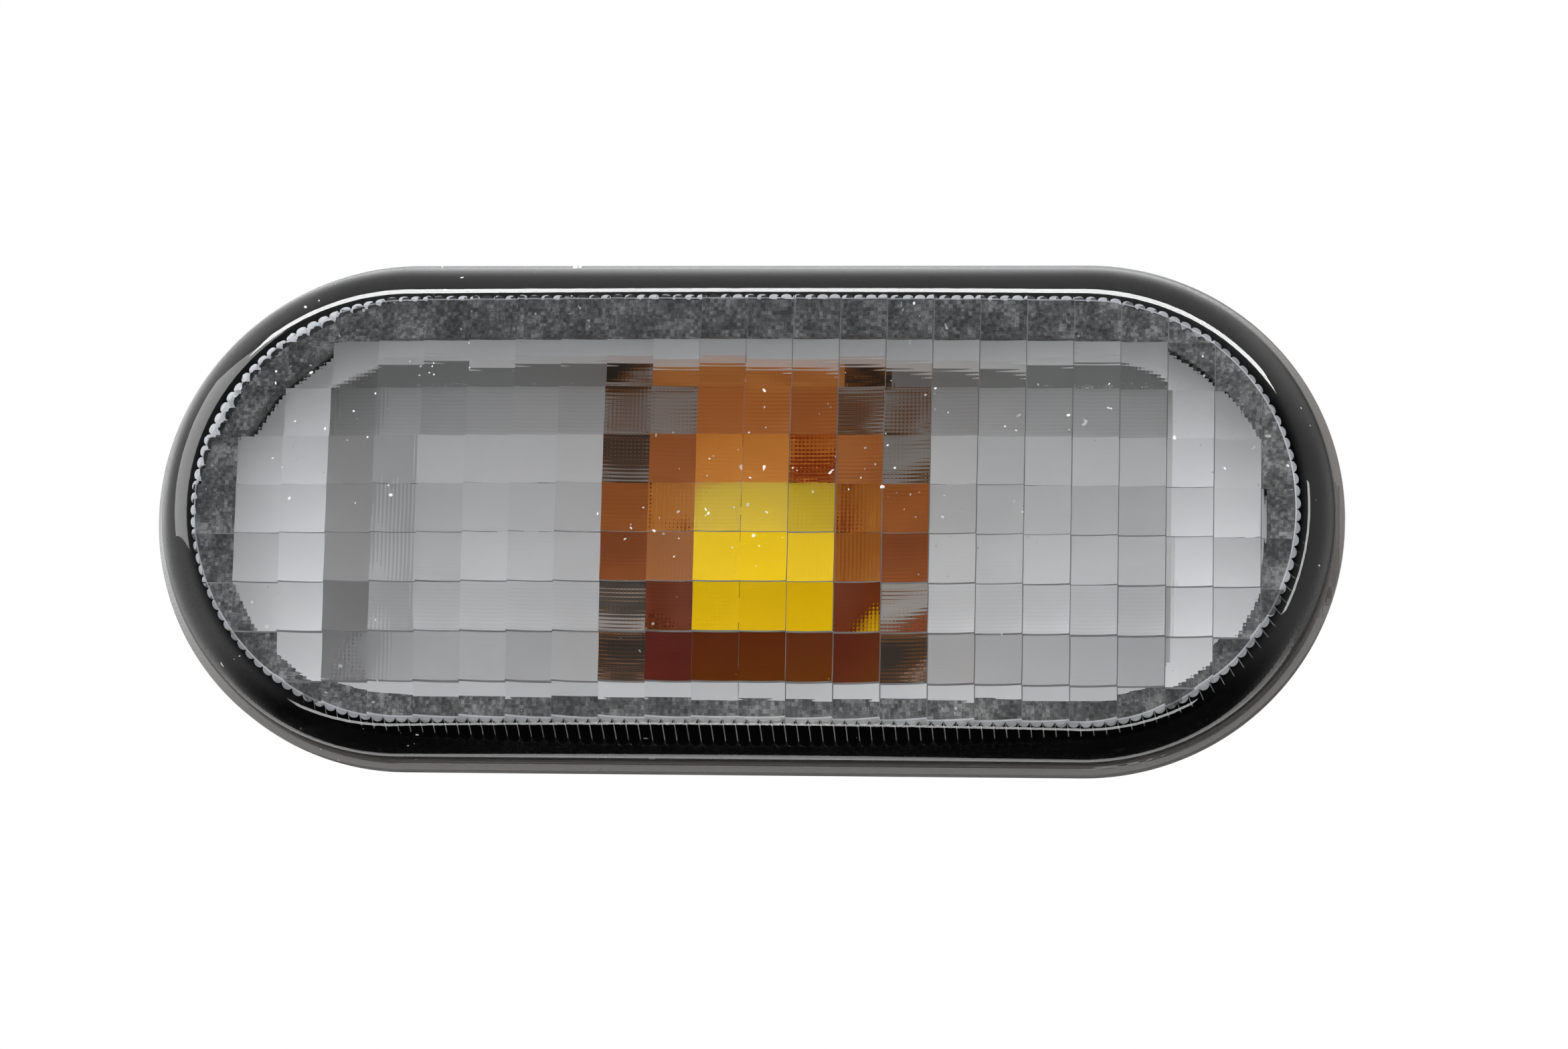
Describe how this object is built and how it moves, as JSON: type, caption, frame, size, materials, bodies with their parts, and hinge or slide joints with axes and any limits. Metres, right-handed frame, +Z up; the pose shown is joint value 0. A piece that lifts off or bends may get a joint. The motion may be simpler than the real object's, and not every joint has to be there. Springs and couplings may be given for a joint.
{
  "type": "side repeater lamp",
  "caption": "Oval side repeater lamp: clear prism lens on a black tub, grey reflector, amber cap and twist-in bulb holder.",
  "frame": {"origin": "middle of the flange's rear face, which seats on the body panel", "axes": "+X along the lamp, +Z up as fitted, the lens faces -Y and the bulb holder +Y"},
  "size_m": [0.104, 0.054, 0.045],
  "materials": {
    "clear_lens": "clear moulded acrylic",
    "black_plastic": "moulded, slightly glossy",
    "grey_reflector": "moulded matt silver grey",
    "amber_plastic": "translucent amber",
    "foam_rubber": "closed-cell foam",
    "spring_steel": "rolled spring strip",
    "white_membrane": "matt film",
    "holder_plastic": "glass-filled moulding",
    "seal_rubber": "smooth silicone rubber",
    "bulb_glass": "clear blown glass",
    "wire": "drawn wire",
    "contact_brass": "stamped sheet"
  },
  "bodies": {
    "lamp": {"lens": "clear_lens", "housing": "black_plastic", "reflector": "grey_reflector", "amber_cap": "amber_plastic", "panel_gasket": "foam_rubber", "retaining_spring": "spring_steel", "vent_membrane": "white_membrane"},
    "holder": {"holder_body": "holder_plastic", "holder_seal": "seal_rubber", "bulb_glass": "bulb_glass", "filament": "wire", "lead_wire_left": "wire", "lead_wire_right": "wire", "contact_left": "contact_brass", "contact_right": "contact_brass"}
  },
  "joints": [
    {"name": "holder_twist", "type": "hinge", "parent": "lamp", "child": "holder", "pos_m": [0, 0.0191, 0], "axis": [0, 1, 0], "range_deg": [0, 40]}
  ]
}
